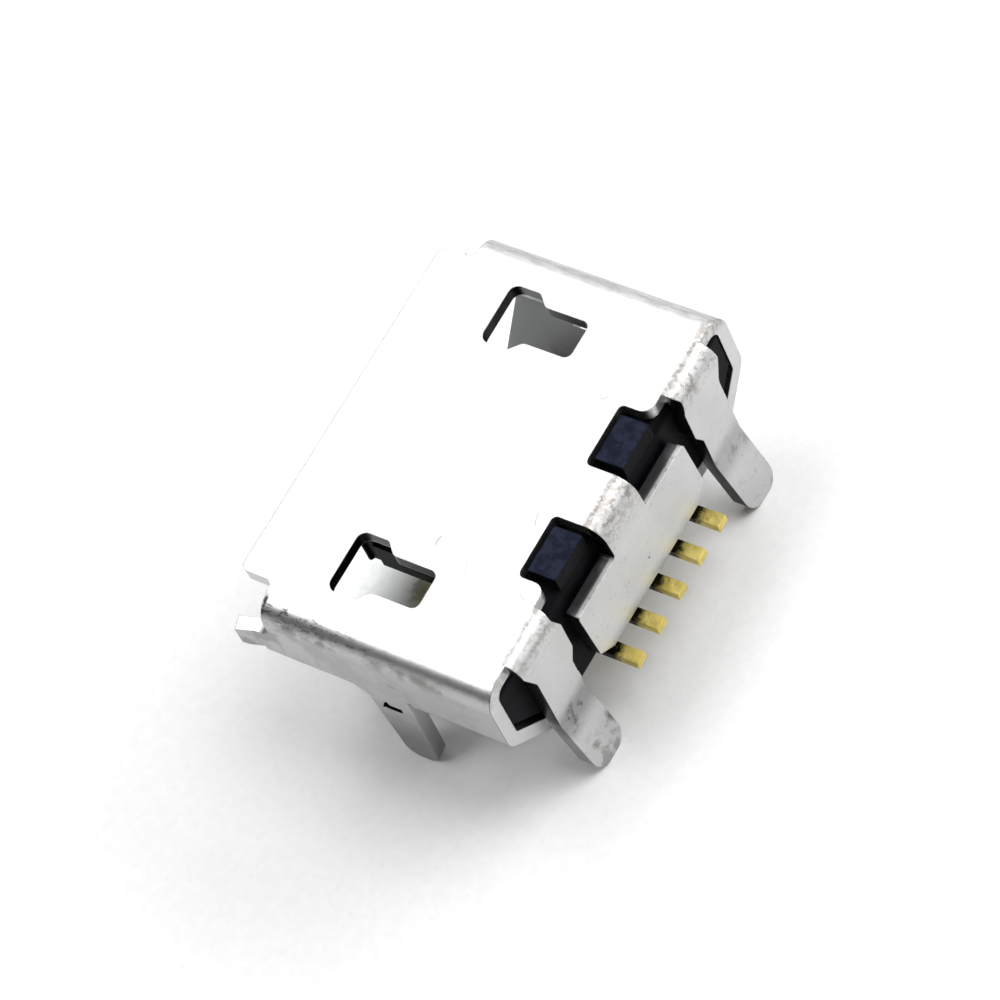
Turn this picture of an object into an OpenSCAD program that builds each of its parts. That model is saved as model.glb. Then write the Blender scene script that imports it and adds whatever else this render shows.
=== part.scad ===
// Board-mounted socket for a small five-pole data and charging plug.
// The mouth faces -Y, the solder tails point to +Y and the four legs go down to Z = 0.
// Distances named "from the front" are counted from the front edge of the top lip.

/* [Mouth] */
// Clear width of the plug opening
mouth_w = 6.9; // [6.7:0.05:7.1]
// Clear height of the plug opening
mouth_h = 1.85; // [1.8:0.05:2]
// Height of the sloped lower corners, measured on the outside
slope_h = 0.86; // [0.7:0.02:0.95]

/* [Sheet] */
// Thickness of the folded sheet
sheet_t = 0.25; // [0.22:0.01:0.27]
// Inside radius of the two bends along the top
top_bend_r = 0.2; // [0.12:0.02:0.24]
// Inside radius of the bends of the sloped corners and of the rear flaps
small_bend_r = 0.1; // [0.08:0.01:0.12]

/* [Lips] */
// Width of the lip of the top plate
top_lip_w = 6.28; // [6:0.02:6.4]
// How far the top lip stands ahead of the side walls
lip_len = 0.62; // [0.5:0.02:0.7]
// Width of the lip of the bottom plate
bottom_lip_w = 4.7; // [4.2:0.1:4.8]
// Height of the small lip on each side wall
side_lip_h = 0.46; // [0.36:0.02:0.5]
// Outward turn of the side lips in degrees
side_lip_turn = 16; // [8:1:20]

/* [Latch windows] */
// Distance between the centres of the two windows
window_gap = 4.77; // [4.6:0.01:4.9]
// Width of the narrow rear part of a window
window_w = 0.7; // [0.6:0.02:0.8]
// Width of the wide front part of a window
window_head_w = 1.1; // [1.04:0.02:1.2]
// Length of a window
window_len = 1.56; // [1.5:0.02:1.64]
// Front edge of the windows from the front
window_from_front = 1.49; // [1.4:0.01:1.6]

/* [Rear edge] */
// Rear end of the side walls from the front
wall_end = 4.87; // [4.8:0.01:4.95]
// Front edge of the two rear notches from the front
notch_from_front = 4.25; // [4.15:0.01:4.3]
// Width of the neck that is left between the notches
neck_w = 0.97; // [0.86:0.01:1.1]
// Width over both notches
notch_span = 3.24; // [3.16:0.02:3.3]
// Width over the middle flap
flap_w = 3.3; // [3.1:0.02:3.4]
// Height of the middle flap below the neck
flap_h = 1.24; // [1:0.02:1.3]
// Inner edges of the two side flaps, edge to edge
side_flap_span = 3.92; // [3.9:0.02:4.06]
// Width of a side flap
side_flap_w = 0.91; // [0.86:0.01:0.93]

/* [Legs] */
// Length of the legs below the board surface
leg_drop = 1.05; // [0.9:0.05:1.3]
// Width of a front leg
front_leg_w = 0.78; // [0.74:0.02:0.9]
// Front edge of the front legs from the front
front_leg_from_front = 2.21; // [2.1:0.01:2.4]
// Rearward lean of the rear legs in degrees
rear_leg_lean = 15; // [8:1:18]

/* [Insulator] */
// Width of the tongue
tongue_w = 3.56; // [3.5:0.02:3.64]
// Thickness of the tongue
tongue_t = 0.6; // [0.56:0.02:0.64]
// Space between the top plate and the tongue
tongue_gap = 0.35; // [0.3:0.01:0.4]
// Front end of the tongue from the front
tongue_from_front = 1.0; // [0.9:0.05:1.1]
// Front face of the moulded body from the front
body_from_front = 3.7; // [3.6:0.05:3.8]
// Space between the moulding and the sheet
fit_gap = 0.02; // [0.01:0.01:0.03]
// Space between the moulding and the sloped corners
slope_gap = 0.14; // [0.04:0.02:0.18]

/* [Contacts] */
// Distance between neighbouring contacts
pitch = 0.65; // [0.6:0.01:0.66]
// Width of the contact blades under the tongue
blade_w = 0.35; // [0.3:0.01:0.4]
// Width of the solder tails
tail_w = 0.24; // [0.2:0.01:0.28]
// Thickness of the contacts
contact_t = 0.15; // [0.12:0.01:0.16]
// Rear end of the solder tails from the front
tail_end = 5.64; // [5.5:0.02:5.8]

/* [Hidden] */
$fn = 64;
eps = 0.01;
far = 10;

shell_w = mouth_w + 2 * sheet_t;
shell_h = mouth_h + 2 * sheet_t;
half_w = shell_w / 2;
top_bend_out = top_bend_r + sheet_t;
small_bend_out = small_bend_r + sheet_t;

z_board = leg_drop;
z_top = z_board + shell_h;
z_in_top = z_top - sheet_t;
z_in_bottom = z_board + sheet_t;

// How far a 45 degree bend reaches along the sheet on each side of its corner
slope_set = small_bend_out * tan(22.5);
z_slope = z_board + slope_h;
z_slope_bend = z_slope + slope_set;
wall_h = z_top - top_bend_out - z_slope_bend;
slope_run = slope_h * sqrt(2) - 2 * slope_set;
bottom_half = half_w - slope_h;

// Tip of the side lips from the front, and the middle of the frame along the socket
side_lip_root = 0.34;
side_lip_run = 0.33;
side_lip_r = 0.15;
side_lip_tip = side_lip_root - (side_lip_r + sheet_t) * sin(side_lip_turn) - side_lip_run * cos(side_lip_turn);
y_mid = (tail_end + min(side_lip_tip, 0)) / 2;
y_rear_wall = wall_end - y_mid;

// Wide part of a window and the length over which it narrows
window_head_len = 0.52;
window_neck_len = 0.2;

// Roundings of the lips, at their roots and at their front corners
lip_root_r = 0.13;
lip_corner_r = 0.14;

// The slope and the bottom plate start behind a relief cut
relief_len = lip_len + 0.18;
side_lip_top = 0.85;
z_side_lip = z_top - side_lip_top;
z_side_lip_end = z_side_lip - side_lip_h;
side_lip_drop = 0.12;
side_lip_fillet = 0.25;

// All rear flaps leave the top plate along one bend line
flap_bend_at = wall_end - 0.1;
y_flap_bend = flap_bend_at - y_mid;
flap_lean = 5;
z_flap_top = z_top - 0.72;
z_flap_end = z_flap_top - flap_h;
flap_cut_w = 0.3;
flap_cut_h = 0.21;
side_flap_in = side_flap_span / 2;
side_flap_out = side_flap_in + side_flap_w;
z_leg_bend = z_board + 0.3;
rear_leg_r = 0.3;
notch_root_r = 0.2;

// Outline of a side flap, the steps being counted down from the top
flap_root = 0.18;
flap_root_from = 0.3;
flap_root_to = 0.72;
flap_relief = 0.1;
flap_relief_at = 0.15;
flap_relief_end = 0.37;
flap_step_from = 1.05;
flap_step_to = 1.3;
leg_set = 0.13;

leg_open_front = front_leg_from_front - 0.03;
leg_open_rear = front_leg_from_front + front_leg_w + 0.1;
leg_fillet = 0.26;
leg_taper_front = 0.15;
leg_taper_rear = 0.05;
leg_open_in = 2.05;
z_leg_slot = z_board + 0.45;
leg_slot_w = 0.41;
leg_slot_h = 0.17;

foot_half = 1.9;
foot_from_front = 3.9;
seam_w = 0.04;
key_from_front = 1.8;
key_len = 1.2;
key_w = 0.75;
key_in = 0.2;

z_tongue_top = z_in_top - tongue_gap;
z_tongue = z_tongue_top - tongue_t;
tongue_tip_in = 0.2;
tongue_tip_len = 0.18;
nick_from = 0.22;
nick_to = 0.46;
nick_in = 0.06;
nick_slope = 0.04;
blade_proud = 0.05;
blade_from_front = tongue_from_front + 0.2;
contact_r = 0.1;
contact_post = 4.2;
moulding_gap = 0.01;
body_top_r = 0.18;

contact_names = ["contact_vbus", "contact_data_minus", "contact_data_plus", "contact_id", "contact_ground"];

// Polygon whose corners are rounded, each point being [x, y, radius]
module rounded_poly(pts) {
    n = len(pts);
    function xy(i) = [pts[(i + n) % n][0], pts[(i + n) % n][1]];
    function toward(a, b) = (b - a) / norm(b - a);
    function side(i) = cross(xy(i) - xy(i - 1), xy(i + 1) - xy(i));
    function corner(i) = acos(toward(xy(i), xy(i - 1)) * toward(xy(i), xy(i + 1)));
    function reach(i) = pts[i][2] / tan(corner(i) / 2);
    function middle(i) = let (u = toward(xy(i), xy(i - 1)), v = toward(xy(i), xy(i + 1)), w = u + v)
        xy(i) + w / norm(w) * pts[i][2] / sin(corner(i) / 2);
    cut = [for (i = [0 : n - 1]) each (pts[i][2] == 0 ? [xy(i)] :
        [xy(i) + toward(xy(i), xy(i - 1)) * reach(i), xy(i) + toward(xy(i), xy(i + 1)) * reach(i)])];
    difference() {
        union() {
            polygon(cut);
            for (i = [0 : n - 1])
                if (pts[i][2] > 0 && side(i) > 0)
                    translate(middle(i)) circle(pts[i][2]);
        }
        for (i = [0 : n - 1])
            if (pts[i][2] > 0 && side(i) < 0)
                translate(middle(i)) circle(pts[i][2]);
    }
}

// Sheet folded step by step along +X, its outer face at Y = 0 and its width along +Z.
// Each step is [straight length, bend angle, inside radius]; a negative angle bends outward.
module fold(steps, width, t, i = 0) {
    if (i < len(steps)) {
        run = steps[i][0];
        turn = steps[i][1];
        r = steps[i][2];
        if (run > 0)
            translate([0, -t, 0]) cube([run, t, width]);
        translate([run, 0, 0]) {
            if (turn > 0)
                translate([0, -t - r, 0]) {
                    rotate(90 - turn) rotate_extrude(angle = turn) translate([r, 0]) square([t, width]);
                    rotate(-turn) translate([0, t + r, 0]) fold(steps, width, t, i + 1);
                }
            if (turn < 0)
                translate([0, r, 0]) {
                    rotate(-90) rotate_extrude(angle = -turn) translate([r, 0]) square([t, width]);
                    rotate(-turn) translate([0, -r, 0]) fold(steps, width, t, i + 1);
                }
        }
    }
}

module both_sides() {
    children();
    mirror([1, 0, 0]) children();
}

// Shape drawn as seen from above, cut through a height range
module from_above(z0, z1) {
    translate([0, -y_mid, z0]) linear_extrude(z1 - z0) children();
}

// Shape drawn as seen from behind with X and Z, standing over a range from the front
module from_behind(y0, y1) {
    translate([0, y1 - y_mid, 0]) rotate([90, 0, 0]) linear_extrude(y1 - y0) children();
}

// Shape drawn as seen from the side with distance from the front and Z, over a range of X
module from_side(x0, x1) {
    translate([x0, -y_mid, 0]) rotate([90, 0, 90]) linear_extrude(x1 - x0) children();
}

// Top plate, side wall, slope and half of the bottom plate on one side
module half_tube() {
    steps = [
        [half_w - top_bend_out, 90, top_bend_r],
        [wall_h, 45, small_bend_r],
        [slope_run, 45, small_bend_r],
        [bottom_half - slope_set, 0, 0]
    ];
    translate([0, y_rear_wall, z_top]) rotate([90, 0, 0]) fold(steps, wall_end, sheet_t);
}

// What the stamping takes away round the mouth on one side
module mouth_cut() {
    lip = top_lip_w / 2;
    low = bottom_lip_w / 2;
    // Beside the top lip, down to the side lip
    from_above(z_top - top_bend_out, z_top + eps)
        rounded_poly([[lip, -1, 0], [far, -1, 0], [far, lip_len, 0], [lip, lip_len, lip_root_r]]);
    // Front corner of the top lip
    from_above(z_in_top - eps, z_top + eps)
        difference() {
            translate([lip - lip_corner_r, -eps]) square([0.2, lip_corner_r + eps]);
            translate([lip - lip_corner_r, lip_corner_r]) circle(lip_corner_r);
        }
    side_lip_gap();
    // Wall ahead of the root of the side lip
    from_side(half_w - top_bend_out, far)
        translate([-1, z_board]) square([1 + side_lip_root, z_side_lip - z_board]);
    // Slope and bottom plate ahead of the relief cut
    from_above(z_board - eps, z_side_lip_end - side_lip_drop)
        rounded_poly([[low, -1, 0], [far, -1, 0], [far, relief_len, 0], [low, relief_len, lip_root_r]]);
    from_above(z_board - eps, z_in_bottom + eps)
        difference() {
            translate([low - lip_corner_r, -eps]) square([0.2, lip_corner_r + eps]);
            translate([low - lip_corner_r, lip_corner_r]) circle(lip_corner_r);
        }
}

// Space over the side lip, with the rounded corner to the wall
module side_lip_gap() {
    from_side(half_w - top_bend_out, far)
        rounded_poly([[-1, z_side_lip, 0], [lip_len, z_side_lip, side_lip_fillet], [lip_len, z_top + eps, 0],
            [-1, z_top + eps, 0]]);
}

// Small lip that turns outward from the front of a side wall
module side_lip() {
    z0 = z_side_lip_end - side_lip_drop;
    tall = side_lip_h + side_lip_drop + side_lip_fillet;
    steps = [
        [lip_len - side_lip_root + 0.1, -side_lip_turn, side_lip_r],
        [side_lip_run, 0, 0]
    ];
    start = lip_len + 0.1;
    tip = side_lip_tip - eps;
    difference() {
        intersection() {
            translate([half_w, start - y_mid, z0]) rotate(-90) fold(steps, tall, sheet_t);
            from_side(0, far)
                rounded_poly([[tip, z_side_lip_end, 0.25], [side_lip_root, z_side_lip_end, 0], [2, z0, 0],
                    [2, z0 + tall, 0], [tip, z0 + tall, 0]]);
        }
        side_lip_gap();
    }
}

// Outline of a latch window: a wide head in front and a narrow slot behind
module window_shape() {
    h = window_head_w / 2;
    s = window_w / 2;
    f = window_from_front;
    e = f + window_len;
    a = f + window_head_len;
    b = a + window_neck_len;
    translate([window_gap / 2, 0])
        rounded_poly([[-h, f, 0.17], [h, f, 0.17], [h, a, 0.1], [s, b, 0.15],
            [s, e, 0.13], [-s, e, 0.13], [-s, b, 0.15], [-h, a, 0.1]]);
}

// Rear notch with the relief at the root of the side flap
module notch_shape() {
    rounded_poly([[neck_w / 2, notch_from_front, 0.1], [notch_span / 2, notch_from_front, 0.1],
        [notch_span / 2, flap_bend_at, notch_root_r], [side_flap_in, flap_bend_at, 0],
        [side_flap_in, far, 0], [neck_w / 2, far, 0]]);
}

// Seam where the two edges of the sheet meet under the plug, locked by a dovetail
module seam_shape() {
    a = key_from_front;
    b = a + key_len;
    key = [[0, -1], [0, a + key_in], [key_w, a], [key_w, b], [0, b - key_in], [0, far]];
    for (i = [0 : len(key) - 2]) {
        d = key[i + 1] - key[i];
        translate(key[i]) rotate(atan2(d[1], d[0]))
            translate([-seam_w / 2, -seam_w / 2]) square([norm(d) + seam_w, seam_w]);
    }
}

// Front leg, left standing when the slope behind it is cut free
module front_leg() {
    f = front_leg_from_front;
    r = f + front_leg_w;
    tip_r = (front_leg_w - leg_taper_front - leg_taper_rear) * 0.46;
    difference() {
        from_side(half_w - sheet_t, half_w)
            rounded_poly([[f - leg_fillet, z_slope_bend + 0.1, 0], [f - leg_fillet, z_slope_bend - 0.04, 0],
                [f, z_slope_bend - 0.3, 0.2], [f + leg_taper_front, 0, tip_r], [r - leg_taper_rear, 0, tip_r],
                [r, z_board + 0.3, 0], [r, z_slope_bend + 0.1, 0]]);
        // Slit with a small notch at its upper front corner
        from_side(half_w - sheet_t - eps, half_w + eps)
            translate([f + 0.15, z_leg_slot])
                polygon([[0, 0], [leg_slot_w - 0.02, 0], [leg_slot_w, leg_slot_h], [0.18, leg_slot_h],
                    [0.16, leg_slot_h + 0.08], [0.1, leg_slot_h + 0.05]]);
    }
}

// Opening in the slope and the bottom plate that the front leg was cut from
module leg_opening() {
    from_above(z_board - eps, z_slope_bend)
        {
            translate([leg_open_in, leg_open_front]) square([far, leg_open_rear - leg_open_front]);
            translate([half_w - sheet_t - 0.15, leg_open_front - leg_fillet]) square([far, leg_fillet + eps]);
        }
}

// Flap beside the notch that runs down into a rear leg
module side_flap() {
    i = side_flap_in;
    o = side_flap_out;
    lean_run = z_leg_bend / cos(rear_leg_lean);
    steps = [
        [0, 90, small_bend_r],
        [z_top - small_bend_out - z_leg_bend, -rear_leg_lean, 0.3],
        [lean_run, 0, 0]
    ];
    intersection() {
        translate([i, y_flap_bend, z_top]) rotate([90, 0, 90]) fold(steps, side_flap_w + flap_root, sheet_t);
        from_behind(0, far)
            rounded_poly([[i + 0.04, z_top + 1, 0], [i + 0.04, z_top - 0.02, 0],
                [i + flap_relief, z_top - flap_relief_at, 0.06], [i, z_top - flap_relief_end, 0.1],
                [i, z_top - flap_step_from, 0.1], [i + leg_set, z_top - flap_step_to, 0.1],
                [i + leg_set, 0, rear_leg_r], [o, 0, rear_leg_r], [o, z_top - flap_root_to, 0.3],
                [o + flap_root, z_top - flap_root_from, 0], [o + flap_root, z_top + 1, 0]]);
    }
}

// Middle flap that hangs from the neck and widens behind the moulding
module middle_flap() {
    n = neck_w / 2;
    w = flap_w / 2;
    lean_run = (z_top - z_flap_end) / cos(flap_lean);
    steps = [[0, 90 - flap_lean, small_bend_r], [lean_run, 0, 0]];
    intersection() {
        translate([-w, y_flap_bend, z_top]) rotate([90, 0, 90]) fold(steps, flap_w, sheet_t);
        from_behind(0, far)
            rounded_poly([[-n, z_top + 1, 0], [-n, z_flap_top, 0.09], [-w, z_flap_top, 0.05],
                [-w, z_flap_end + flap_cut_h, 0.04], [-w + flap_cut_w, z_flap_end, 0.04],
                [w - flap_cut_w, z_flap_end, 0.04], [w, z_flap_end + flap_cut_h, 0.04],
                [w, z_flap_top, 0.05], [n, z_flap_top, 0.09], [n, z_top + 1, 0]]);
    }
}

module shell() {
    color([0.78, 0.79, 0.8]) {
        difference() {
            both_sides() half_tube();
            both_sides() {
                mouth_cut();
                leg_opening();
                from_above(z_in_top - eps, z_top + eps) window_shape();
                from_above(z_in_top - eps, z_top + eps) notch_shape();
            }
            // The top plate ends at the bend line of the flaps
            from_above(z_in_top - eps, z_top + eps)
                translate([-side_flap_out - flap_root, flap_bend_at]) square([2 * (side_flap_out + flap_root), 1]);
            from_above(z_board - eps, z_in_bottom + eps) {
                seam_shape();
                translate([-foot_half, foot_from_front]) square([2 * foot_half, far]);
            }
        }
        both_sides() {
            side_lip();
            front_leg();
            side_flap();
        }
        middle_flap();
    }
}

// Room inside the folded sheet, less the fitting gap
module inner_section() {
    a = half_w - sheet_t - fit_gap;
    d = (sheet_t + slope_gap) * sqrt(2) - sheet_t - fit_gap;
    t = z_in_top - fit_gap;
    b = z_in_bottom + fit_gap;
    r = top_bend_r;
    rounded_poly([[-a, t, r], [-a, z_slope + d, 0], [-bottom_half + d, b, 0],
        [bottom_half - d, b, 0], [a, z_slope + d, 0], [a, t, r]]);
}

// Contact strip; a positive growth makes the room it takes in the moulding
module contact(i, growth) {
    t = contact_t + 2 * growth;
    w = blade_w + 2 * growth;
    out = contact_r + contact_t;
    z0 = z_tongue - blade_proud + contact_t;
    z1 = z_board + contact_t;
    y0 = blade_from_front - growth;
    steps = [
        [contact_post - out - y0, 90, contact_r - growth],
        [z0 - out - z1 - contact_r, -90, contact_r - growth],
        [tail_end - contact_post - contact_r + growth, 0, 0]
    ];
    translate([(2 - i) * pitch, 0, 0])
        intersection() {
            translate([-w / 2, y0 - y_mid, z0 + growth]) rotate([90, 0, 90]) fold(steps, w, t);
            from_above(-1, z_top) {
                translate([-w / 2, 0]) square([w, contact_post + 0.15]);
                translate([-tail_w / 2 - growth, 1]) square([tail_w + 2 * growth, tail_end + growth]);
            }
        }
}

// Moulded body, the foot between the tails, the tongue and the two blocks in the notches
module moulding() {
    rear = wall_end - fit_gap;
    h = tongue_w / 2;
    f = tongue_from_front;
    intersection() {
        from_behind(body_from_front, rear) inner_section();
        from_side(-far, far)
            rounded_poly([[body_from_front, 0, 0], [rear, 0, 0], [rear, z_in_top - fit_gap, body_top_r],
                [body_from_front, z_in_top - fit_gap, 0]]);
    }
    from_above(z_board + fit_gap, z_in_bottom + 0.1)
        translate([-foot_half + fit_gap, foot_from_front + fit_gap])
            square([2 * (foot_half - fit_gap), rear - foot_from_front - fit_gap]);
    from_above(z_tongue, z_tongue_top)
        both_sides()
            polygon([[0, body_from_front + 0.1], [0, f], [h - tongue_tip_in, f], [h, f + tongue_tip_len],
                [h, f + nick_from], [h - nick_in, f + nick_from + nick_slope],
                [h - nick_in, f + nick_to - nick_slope], [h, f + nick_to], [h, body_from_front + 0.1]]);
    both_sides()
        from_above(z_in_top - 0.1, z_top - fit_gap)
            translate([neck_w / 2 + 0.15, notch_from_front + 0.09])
                square([(notch_span - neck_w) / 2 - 0.3, rear - notch_from_front - 0.09]);
}

module insulator() {
    color([0.06, 0.06, 0.08])
        difference() {
            moulding();
            for (i = [0 : 4])
                contact(i, moulding_gap);
        }
}

module gold_contact(i) {
    color([0.85, 0.68, 0.25]) contact(i, 0);
}

shell();
insulator();
gold_contact(0);  // contact_vbus
gold_contact(1);  // contact_data_minus
gold_contact(2);  // contact_data_plus
gold_contact(3);  // contact_id
gold_contact(4);  // contact_ground
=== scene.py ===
import math

import bpy
from mathutils import Matrix, Vector


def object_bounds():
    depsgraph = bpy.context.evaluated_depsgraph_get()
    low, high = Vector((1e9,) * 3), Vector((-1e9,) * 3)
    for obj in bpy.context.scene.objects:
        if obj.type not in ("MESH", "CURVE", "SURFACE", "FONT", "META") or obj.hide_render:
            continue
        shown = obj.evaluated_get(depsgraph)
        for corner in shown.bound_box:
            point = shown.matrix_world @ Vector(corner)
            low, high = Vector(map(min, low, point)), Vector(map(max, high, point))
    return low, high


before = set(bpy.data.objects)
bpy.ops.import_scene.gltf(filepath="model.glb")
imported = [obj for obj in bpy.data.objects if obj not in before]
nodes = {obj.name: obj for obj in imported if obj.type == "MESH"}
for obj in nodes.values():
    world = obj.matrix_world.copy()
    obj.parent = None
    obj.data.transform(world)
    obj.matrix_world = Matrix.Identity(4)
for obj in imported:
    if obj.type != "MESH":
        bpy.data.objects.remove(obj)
cad_low, cad_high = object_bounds()
MM = 0.001

# Camera, found by fitting points of the photograph
RIGHT = Vector((-0.4896, 0.8284, -0.2723))
AHEAD = Vector((-0.3329, -0.4662, -0.8197))
EYE = Vector((28.39 * MM, cad_high.y + 36.64 * MM, 71.92 * MM))
FOCAL_PX = 5475.5
FRAME_PX = 1000
SENSOR_MM = 36

# Distance from the front edge of the top lip to the middle of the frame, in millimetres
FRONT = 2.77627

# Studio light: strength of the world on the part, and as the camera sees it
WORLD_STRENGTH = 0.12
BACKDROP_STRENGTH = 1.0

# Round soft lamps, all at one distance in metres: direction, width in metres, radiance
LAMP_DISTANCE = 0.3
LAMPS = {
    "front_right": ((0.46, -0.466, 0.76), 0.15, 4.0),
    "front": ((-0.03, -0.466, 0.885), 0.16, 2.5),
    "front_left": ((-0.333, -0.466, 0.82), 0.16, 1.6),
    "far_left_high": ((-0.6, -0.466, 0.65), 0.14, 1.8),
    "far_left": ((-0.85, -0.42, 0.33), 0.16, 1.3),
    "left": ((-0.9, 0.05, 0.42), 0.18, 3.6),
    "rear_left": ((-0.75, 0.5, 0.42), 0.18, 5.0),
    "rear_high": ((-0.333, 0.25, 0.91), 0.18, 3.6),
    "rear": ((-0.333, 0.78, 0.52), 0.18, 1.1),
}

# Floor: width in metres, two tones and dust
FLOOR_SIZE = 0.6
FLOOR_COOL = (0.93, 0.93, 0.94)
FLOOR_PALE = (0.97, 0.97, 0.97)
FLOOR_DUST = (0.84, 0.84, 0.85)

# Colours of the sheet: its two plain tones, then what lies over them: wear and marks, and painted shade and
# highlights
METAL_LIGHT = (0.63, 0.635, 0.63)
METAL_DULL = (0.58, 0.583, 0.58)
BEND_SCUFF = (0.035, 0.03, 0.026)
WALL_SHADE_AND_SMUDGE = (0.13, 0.13, 0.12)
FAR_RUB = (0.24, 0.245, 0.235)
HANDLING = (0.2, 0.155, 0.125)
SCRATCH = (0.12, 0.1, 0.08)
NECK_SCUFF = (0.22, 0.16, 0.12)
SPECKS = (0.16, 0.15, 0.14)
LEG_BAND_SHADE = (0.14, 0.14, 0.14)
LEG_BLOTCH = (0.14, 0.135, 0.12)
FRONT_LEG = (0.20, 0.20, 0.20)
CUT_SIDE_SHADE = (0.01, 0.01, 0.012)
FLAP_TOP_SHADE = (0.11, 0.11, 0.12)
FLAP_RIM_HIGHLIGHT = (0.8, 0.8, 0.78)
SLIT_SHADE = (0.004, 0.005, 0.01)
WINDOW_FRONT_CUT_SHADE = (0.006, 0.006, 0.008)
WINDOW_INNER_CUT_SHADE = (0.02, 0.02, 0.022)
CREASE_SHADE = (0.3, 0.3, 0.29)
INSIDE = (0.56, 0.58, 0.575)

# Small marks and spots of painted shade on the sheet: centre and half extent in millimetres, strength, colour
MARKS_AND_SHADE_SPOTS = [
    ((3.7, 2.85, 2.47), (0.1, 0.12, 0.05), 0.5, (0.25, 0.17, 0.13)),
    ((-0.036, 5.12, 1.88), (0.035, 0.2, 0.04), 0.95, (0.01, 0.01, 0.012)),
    ((2.10, 5.2, 0.5), (0.15, 0.4, 0.24), 0.7, (0.07, 0.07, 0.065)),
    ((2.62, 5.2, 0.44), (0.13, 0.4, 0.14), 0.5, (0.09, 0.08, 0.06)),
    # painted shade at the front end of the near top bend
    ((3.45, 0.66, 3.35), (0.14, 0.05, 0.14), 0.95, (0.005, 0.005, 0.006)),
    # painted shadow of the tongue's edge on the bottom plate under the near window
    ((1.61, 1.72, 1.3), (0.25, 0.22, 0.2), 0.6, (0.1, 0.11, 0.12)),
    # painted shade inside the far side under the far window
    ((-2.75, 1.75, 1.5), (0.3, 0.5, 0.6), 0.45, (0.25, 0.25, 0.25)),
]

# Colours of the moulding and the gold: two tones each, then the painted sheen on the block tops and the
# painted shade at the dark roots
BLACK = (0.001, 0.001, 0.0015)
BLACK_PALER = (0.003, 0.0035, 0.006)
BLOCK_TOP_SHEEN = (0.007, 0.009, 0.022)
BLOCK_TOP_SHEEN_MOTTLED = (0.017, 0.021, 0.042)
GOLD = (0.82, 0.68, 0.22)
GOLD_DULL = (0.62, 0.50, 0.13)
GOLD_ROOT_SHADE = (0.012, 0.01, 0.008)

# Places on the part in millimetres where a look fades in: y behind the body, y of the flaps, z of the top face
BEHIND = (4.9, 5.0)
FLAPS = (4.84, 4.88)
TOP_FACE = (3.38, 3.395)


def make_camera():
    data = bpy.data.cameras.new("camera")
    data.sensor_width = SENSOR_MM
    data.lens = FOCAL_PX / FRAME_PX * SENSOR_MM
    data.clip_start, data.clip_end = 0.005, 5
    cam = bpy.data.objects.new("camera", data)
    ahead = AHEAD.normalized()
    right = (RIGHT - ahead * RIGHT.dot(ahead)).normalized()
    up = right.cross(ahead)
    m = Matrix((right, up, -ahead)).transposed().to_4x4()
    m.translation = EYE
    cam.matrix_world = m
    bpy.context.scene.collection.objects.link(cam)
    bpy.context.scene.camera = cam


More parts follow.
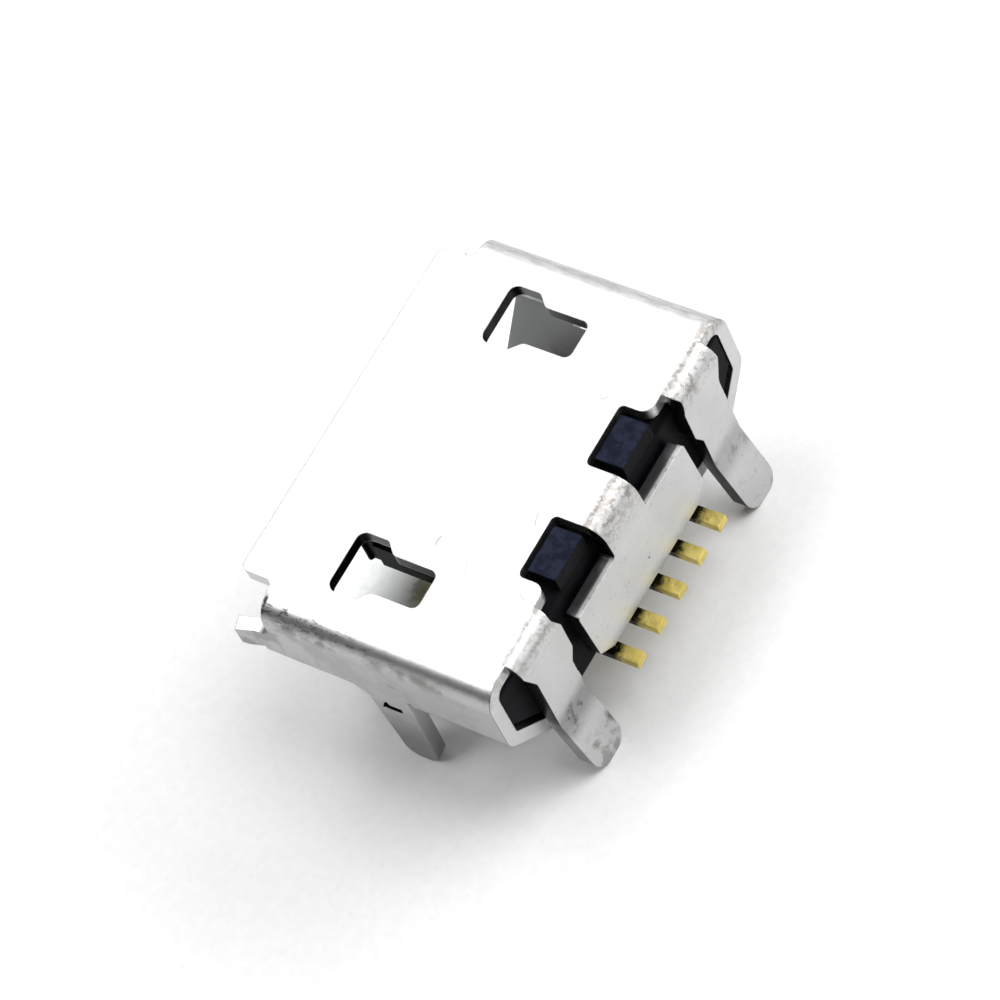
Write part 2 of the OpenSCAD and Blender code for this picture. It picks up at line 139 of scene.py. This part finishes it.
class Graph:
    """Short names for building a material's node graph, with positions in millimetres on the part."""

    def __init__(self, name):
        self.mat = bpy.data.materials.new(name)
        self.mat.use_nodes = True
        self.tree = self.mat.node_tree
        self.tree.nodes.clear()
        self.out = self.node("ShaderNodeOutputMaterial")
        self.bsdf = self.node("ShaderNodeBsdfPrincipled")
        self.link(self.bsdf.outputs[0], self.out.inputs[0])
        place = self.node("ShaderNodeVectorMath", operation="MULTIPLY_ADD")
        geometry = self.node("ShaderNodeNewGeometry")
        self.link(geometry.outputs["Position"], place.inputs[0])
        place.inputs[1].default_value = (1000, 1000, 1000)
        place.inputs[2].default_value = (0, FRONT, 0)
        self.pos = place.outputs[0]
        self.x, self.y, self.z = self.split(self.pos)
        self.nx, self.ny, self.nz = self.split(geometry.outputs["True Normal"])

    def node(self, kind, **settings):
        n = self.tree.nodes.new(kind)
        for key, value in settings.items():
            setattr(n, key, value)
        return n

    def link(self, a, b):
        self.tree.links.new(a, b)

    def put(self, socket, value):
        if isinstance(value, bpy.types.NodeSocket):
            self.link(value, socket)
        else:
            socket.default_value = value

    def split(self, vector):
        n = self.node("ShaderNodeSeparateXYZ")
        self.link(vector, n.inputs[0])
        return n.outputs

    def math(self, operation, a, b=0.0, c=0.0):
        n = self.node("ShaderNodeMath", operation=operation)
        for socket, value in zip(n.inputs, (a, b, c)):
            self.put(socket, value)
        return n.outputs[0]

    def times(self, first, *rest):
        for value in rest:
            first = self.math("MULTIPLY", first, value)
        return first

    def either_side(self, value):
        return self.math("ABSOLUTE", value)

    def noise(self, scale, detail=2.0, rough=0.5, stretch=(1, 1, 1), shift=(0, 0, 0), turn=(0, 0, 0)):
        m = self.node("ShaderNodeMapping")
        self.link(self.pos, m.inputs["Vector"])
        m.inputs["Scale"].default_value = stretch
        m.inputs["Location"].default_value = shift
        m.inputs["Rotation"].default_value = [math.radians(v) for v in turn]
        n = self.node("ShaderNodeTexNoise")
        self.link(m.outputs[0], n.inputs["Vector"])
        n.inputs["Scale"].default_value = scale
        n.inputs["Detail"].default_value = detail
        n.inputs["Roughness"].default_value = rough
        return n.outputs["Fac"]

    def ramp(self, value, low, high, to_low=0.0, to_high=1.0):
        n = self.node("ShaderNodeMapRange", clamp=True, interpolation_type="SMOOTHSTEP")
        self.put(n.inputs["Value"], value)
        n.inputs["From Min"].default_value = low
        n.inputs["From Max"].default_value = high
        self.put(n.inputs["To Min"], to_low)
        self.put(n.inputs["To Max"], to_high)
        return n.outputs[0]

    def band(self, value, low, high, soft):
        """1 between low and high, fading over soft on both sides"""
        up = self.ramp(value, low - soft, low + soft)
        down = self.ramp(value, high - soft, high + soft, 1.0, 0.0)
        return self.math("MULTIPLY", up, down)

    def spot(self, centre, size, edge=0.5, wobble=None):
        """Soft blot round a point; size is its half extent on each axis"""
        away = self.node("ShaderNodeVectorMath", operation="SUBTRACT")
        self.link(self.pos, away.inputs[0])
        away.inputs[1].default_value = centre
        scaled = self.node("ShaderNodeVectorMath", operation="DIVIDE")
        self.link(away.outputs[0], scaled.inputs[0])
        scaled.inputs[1].default_value = size
        length = self.node("ShaderNodeVectorMath", operation="LENGTH")
        self.link(scaled.outputs[0], length.inputs[0])
        reach = length.outputs["Value"]
        if wobble is not None:
            reach = self.math("MULTIPLY_ADD", wobble, 1.6, self.math("SUBTRACT", reach, 0.8))
        return self.ramp(reach, edge, 1.0, 1.0, 0.0)

    def mix(self, factor, a, b):
        n = self.node("ShaderNodeMix", data_type="RGBA")
        self.put(n.inputs[0], factor)
        for socket, value in ((n.inputs[6], a), (n.inputs[7], b)):
            self.put(socket, (*value, 1) if isinstance(value, tuple) else value)
        return n.outputs[2]

    def lay(self, tint, *masks):
        """Cover the colour so far with a tint, where the masks meet"""
        self.colour = self.mix(self.times(*masks), self.colour, tint)

    def surface(self, height, distance, round_edge):
        """Bump over a slightly rounded edge"""
        bevel = self.node("ShaderNodeBevel", samples=4)
        bevel.inputs["Radius"].default_value = round_edge * MM
        n = self.node("ShaderNodeBump")
        self.link(height, n.inputs["Height"])
        self.link(bevel.outputs[0], n.inputs["Normal"])
        n.inputs["Distance"].default_value = distance
        self.link(n.outputs[0], self.bsdf.inputs["Normal"])


def near_side_wear_and_shade(g, fibres):
    """Dark broken rub along the near top bend, strongest at the mouth, over painted shade on the near wall,
    mottled with soft smudges
    """
    x, y, z = g.x, g.y, g.z
    narrow = g.times(g.band(x, 3.575, 3.66, 0.04), g.ramp(z, 3.05, 3.15))
    wide = g.times(g.band(x, 3.45, 3.69, 0.06), g.ramp(z, 2.95, 3.12))
    broken = g.math("MAXIMUM", g.ramp(fibres, 0.47, 0.56), 0.55)
    rub = g.times(narrow, g.ramp(y, 1.0, 5.0, 1.0, 0.35), broken)
    outer = g.times(wide, g.ramp(fibres, 0.53, 0.58), g.ramp(y, 0.8, 3.2, 1.0, 0.1))
    g.lay(BEND_SCUFF, g.math("MAXIMUM", rub, outer), 0.86)

    # painted shade on the near wall, darker toward the mouth and the top bend, mottled with soft smudges
    wall = g.times(g.ramp(x, 3.60, 3.68), g.ramp(g.nx, 0.3, 0.7), g.ramp(y, *BEHIND, 1.0, 0.0))
    smudge = g.ramp(g.noise(2.2, 4, 0.6, shift=(2, 4, 1)), 0.42, 0.62)
    gathered = g.math("MAXIMUM", g.ramp(y, 0.5, 2.2, 0.45, 0.0), g.ramp(z, 2.8, 3.15, 0.0, 0.8))
    strength = g.math("MULTIPLY_ADD", gathered, 0.6, 0.12)
    g.lay(WALL_SHADE_AND_SMUDGE, wall, g.math("MULTIPLY_ADD", smudge, strength, 0.22))


def far_side_wear(g):
    """Paler rub along the far top bend"""
    streak = g.noise(5, 4, 0.7, stretch=(3.2, 0.7, 3.2))
    bend = g.times(g.band(g.x, -3.66, -3.37, 0.05), g.ramp(g.z, 3.0, 3.2))
    g.lay(FAR_RUB, bend, g.ramp(streak, 0.4, 0.6, 0.35, 1.0), 0.5)


def rear_wear(g, fibres):
    """Brownish handling marks on the rear bends, thin curved scratches before them, fine specks behind"""
    x, y, z = g.x, g.y, g.z
    large = g.ramp(g.noise(4.2, 5, 0.7), 0.5, 0.64)
    small = g.ramp(g.noise(9, 4, 0.75, shift=(1, 2, 3)), 0.5, 0.58)
    bends = g.times(g.band(y, 4.74, 5.12, 0.07), g.ramp(z, 2.95, 3.15))
    g.lay(HANDLING, bends, g.math("MAXIMUM", large, small), g.ramp(x, 1.2, 3.0, 1.0, 0.5), 0.6)

    wander = g.math("SUBTRACT", g.noise(0.7, 1, 0.5, shift=(4, 1, 0)), 0.5)
    hair = g.ramp(g.either_side(wander), 0.0008, 0.0022, 1.0, 0.0)
    few = g.ramp(g.noise(2.3, 2, 0.5, shift=(0, 5, 0)), 0.55, 0.6)
    back_of_top = g.times(g.band(y, 2.6, 4.6, 0.2), g.ramp(x, -1.9, -1.5), g.ramp(z, *TOP_FACE))
    g.lay(SCRATCH, hair, few, back_of_top, 0.8)

    neck = g.times(g.band(y, 5.02, 5.13, 0.03), g.band(z, 2.55, 3.15, 0.15))
    middle = g.ramp(g.either_side(x), 0.45, 0.6, 1.0, 0.0)
    g.lay(NECK_SCUFF, neck, middle, g.ramp(fibres, 0.42, 0.56), 0.45)
    speck = g.noise(16, 2, 0.6, shift=(3, 1, 7))
    g.lay(SPECKS, g.ramp(y, 4.8, 4.9), g.ramp(speck, 0.64, 0.72), 0.35)


def leg_wear_and_shade(g):
    """Rear legs with a band of painted shade under the bend, stronger on the near leg, and blotches toward the
    tips; front legs darker, most toward the tips
    """
    x, y, z = g.x, g.y, g.z
    blotch = g.ramp(g.noise(3.1, 4, 0.65, shift=(5, 0, 2)), 0.5, 0.62)
    # painted shade on the rear legs under the bend, stronger on the near leg, mottled by the blotches
    band = g.times(g.ramp(y, *BEHIND), g.band(z, 1.0, 1.5, 0.2), g.ramp(x, -1.0, 1.0, 0.7, 1.15))
    g.lay(LEG_BAND_SHADE, band, g.math("MULTIPLY_ADD", blotch, 0.4, 0.5))
    g.lay(LEG_BLOTCH, g.ramp(y, *BEHIND), g.ramp(z, 0.3, 0.9, 1.0, 0.0), blotch, 0.45)
    g.lay(FRONT_LEG, g.band(y, 2.1, 3.1, 0.05), g.ramp(z, 0.5, 1.9, 1.0, 0.0), 0.75)


def cut_faces(g, grain):
    """Cut faces of the sheet: painted shade where they stand over the black moulding, with a painted highlight
    as a bright rim on the flaps
    """
    x, y, z = g.x, g.y, g.z
    # painted shade on the side cut faces behind the body, weaker low down on the near side
    side = g.times(g.ramp(g.either_side(g.nx), 0.55, 0.8), g.ramp(y, *FLAPS))
    low_strength = g.ramp(x, -2.0, 2.0, 0.85, 0.4)
    g.lay(CUT_SIDE_SHADE, side, g.ramp(z, 1.2, 1.5, low_strength, 0.95))

    # painted shade on the flaps' top cut faces, with a painted highlight along their rim
    flap_top = g.times(g.ramp(g.nz, 0.7, 0.9), g.band(z, 2.6, 2.72, 0.02), g.ramp(y, *FLAPS))
    rim = g.times(g.ramp(y, 5.055, 5.1), g.ramp(grain, 0.3, 0.5, 0.6, 1.0))
    g.lay(g.mix(rim, FLAP_TOP_SHADE, FLAP_RIM_HIGHLIGHT), flap_top, 0.9)

    # painted shade in the slot at the front leg's root
    slit = g.times(g.band(y, 2.3, 2.85, 0.01), g.band(z, 1.45, 1.8, 0.01))
    g.lay(SLIT_SHADE, slit, g.ramp(x, 3.685, 3.695, 1.0, 0.0), g.ramp(x, 3.4, 3.42), 0.97)


def window_tones(g):
    """Painted shade on the cut faces and along a crease round the latch windows, and a slightly darker tone on
    the inside of the shell under them
    """
    y, z, across = g.y, g.z, g.either_side(g.x)
    edge = g.times(g.band(y, 1.3, 3.2, 0.02), g.band(z, 3.16, 3.385, 0.005), g.band(across, 1.7, 3.05, 0.05))
    # painted shade on the cut faces round the latch windows
    g.lay(WINDOW_FRONT_CUT_SHADE, edge, g.ramp(g.ny, 0.2, 0.6), 0.95)
    g.lay(WINDOW_INNER_CUT_SHADE, edge, g.ramp(g.nx, 0.3, 0.7), 0.9)
    # painted shade along the crease before the windows
    g.lay(CREASE_SHADE, g.band(y, 1.345, 1.375, 0.02), g.band(across, 2.05, 2.8, 0.08), g.ramp(z, *TOP_FACE), 0.35)
    inside = g.times(g.ramp(z, 2.9, 3.1, 1.0, 0.0), g.ramp(y, 3.6, 3.7, 1.0, 0.0))
    g.lay(INSIDE, inside, g.ramp(across, 3.40, 3.44, 1.0, 0.0), 0.7)


def sheet_metal():
    g = Graph("plated_sheet")
    b = g.bsdf.inputs
    b["Metallic"].default_value = 1.0
    cloud = g.noise(1.1, 3)
    grain = g.noise(9, 4, 0.6)
    fibres = g.noise(7.5, 5, 0.75, stretch=(2.2, 0.8, 2.2))
    g.colour = g.mix(g.ramp(cloud, 0.3, 0.7), METAL_LIGHT, METAL_DULL)
    near_side_wear_and_shade(g, fibres)
    far_side_wear(g)
    rear_wear(g, fibres)
    leg_wear_and_shade(g)
    cut_faces(g, grain)
    window_tones(g)
    for centre, size, strength, tint in MARKS_AND_SHADE_SPOTS:
        g.lay(tint, g.spot(centre, size, 0.3, grain), strength)
    g.put(b["Base Color"], g.colour)
    duller_flaps = g.ramp(g.y, 5.0, 5.11, 0.0, 0.17)
    g.put(b["Roughness"], g.math("ADD", g.math("MULTIPLY_ADD", grain, 0.16, 0.28), duller_flaps))
    relief = g.math("ADD", cloud, g.math("MULTIPLY", grain, 0.35))
    g.surface(relief, distance=0.000004, round_edge=0.025)
    return g.mat


def black_plastic():
    g = Graph("black_moulding")
    b = g.bsdf.inputs
    cloud = g.noise(2.4, 3, 0.55)
    fine = g.noise(14, 2)
    g.colour = g.mix(g.ramp(cloud, 0.35, 0.7), BLACK, BLACK_PALER)
    # painted sheen on the up-facing block tops, mottled
    top_sheen = g.mix(g.ramp(g.noise(6, 4, 0.7), 0.42, 0.6), BLOCK_TOP_SHEEN, BLOCK_TOP_SHEEN_MOTTLED)
    g.lay(top_sheen, g.ramp(g.nz, 0.8, 0.95), g.ramp(g.z, 3.3, 3.36), 0.9)
    g.put(b["Base Color"], g.colour)
    g.put(b["Roughness"], g.math("MULTIPLY_ADD", fine, 0.15, 0.42))
    b["Specular IOR Level"].default_value = 0.06
    relief = g.math("ADD", cloud, g.math("MULTIPLY", fine, 0.3))
    g.surface(relief, distance=0.00001, round_edge=0.03)
    return g.mat


def gold_plating():
    g = Graph("gold_contact")
    b = g.bsdf.inputs
    b["Metallic"].default_value = 1.0
    cloud = g.noise(3, 3)
    grain = g.noise(12, 3, 0.7)
    g.colour = g.mix(g.ramp(cloud, 0.35, 0.7), GOLD, GOLD_DULL)
    ragged = g.math("MULTIPLY_ADD", grain, 0.34, g.y)
    # painted shade on the contacts' roots next to the flap
    g.lay(GOLD_ROOT_SHADE, g.ramp(ragged, 5.36, 5.52, 1.0, 0.0), g.ramp(g.y, 4.8, 4.9), 0.985)
    g.put(b["Base Color"], g.colour)
    g.put(b["Roughness"], g.math("MULTIPLY_ADD", grain, 0.3, 0.32))
    g.surface(g.math("ADD", cloud, grain), distance=0.00001, round_edge=0.03)
    return g.mat


def paint(names, material):
    for name in names:
        mats = nodes[name].data.materials
        mats.clear()
        mats.append(material)


def plane(name, size, z, material):
    me = bpy.data.meshes.new(name)
    s = size / 2
    me.from_pydata([(-s, -s, z), (s, -s, z), (s, s, z), (-s, s, z)], [], [(0, 1, 2, 3)])
    ob = bpy.data.objects.new(name, me)
    bpy.context.scene.collection.objects.link(ob)
    me.materials.append(material)
    return ob


def floor_material():
    g = Graph("floor")
    b = g.bsdf.inputs
    grain = g.noise(5, 3, 0.6)
    g.colour = g.mix(g.ramp(grain, 0.3, 0.7), FLOOR_COOL, FLOOR_PALE)
    g.lay(FLOOR_DUST, g.ramp(g.noise(9, 3, 0.8), 0.6, 0.7), 0.5)
    g.put(b["Base Color"], g.colour)
    b["Roughness"].default_value = 0.6
    b["Specular IOR Level"].default_value = 0.2
    return g.mat


def studio_light():
    """Soft white lamps round the far side and the front, and a plain world that the camera sees as white"""
    for name, (direction, width, radiance) in LAMPS.items():
        place = Vector(direction).normalized() * LAMP_DISTANCE
        data = bpy.data.lights.new(name, "AREA")
        data.shape = "DISK"
        data.size = width
        data.energy = radiance * (math.pi * width / 2) ** 2
        ob = bpy.data.objects.new(name, data)
        ob.location = place
        ob.rotation_euler = (-place).to_track_quat("-Z", "Y").to_euler()
        bpy.context.scene.collection.objects.link(ob)

    world = bpy.data.worlds.new("studio")
    bpy.context.scene.world = world
    world.use_nodes = True
    tree = world.node_tree
    tree.nodes.clear()
    seen = tree.nodes.new("ShaderNodeLightPath")
    pick = tree.nodes.new("ShaderNodeMixShader")
    out = tree.nodes.new("ShaderNodeOutputWorld")
    tree.links.new(seen.outputs["Is Camera Ray"], pick.inputs[0])
    tree.links.new(pick.outputs[0], out.inputs[0])
    for socket, strength in ((pick.inputs[1], WORLD_STRENGTH), (pick.inputs[2], BACKDROP_STRENGTH)):
        background = tree.nodes.new("ShaderNodeBackground")
        background.inputs["Color"].default_value = (1, 1, 1, 1)
        background.inputs["Strength"].default_value = strength
        tree.links.new(background.outputs[0], socket)


make_camera()
paint(["shell"], sheet_metal())
paint(["insulator"], black_plastic())
paint([name for name in nodes if name.startswith("contact_")], gold_plating())
floor = plane("floor", FLOOR_SIZE, 0.0, floor_material())
studio_light()

bpy.context.scene.view_settings.view_transform = "Standard"
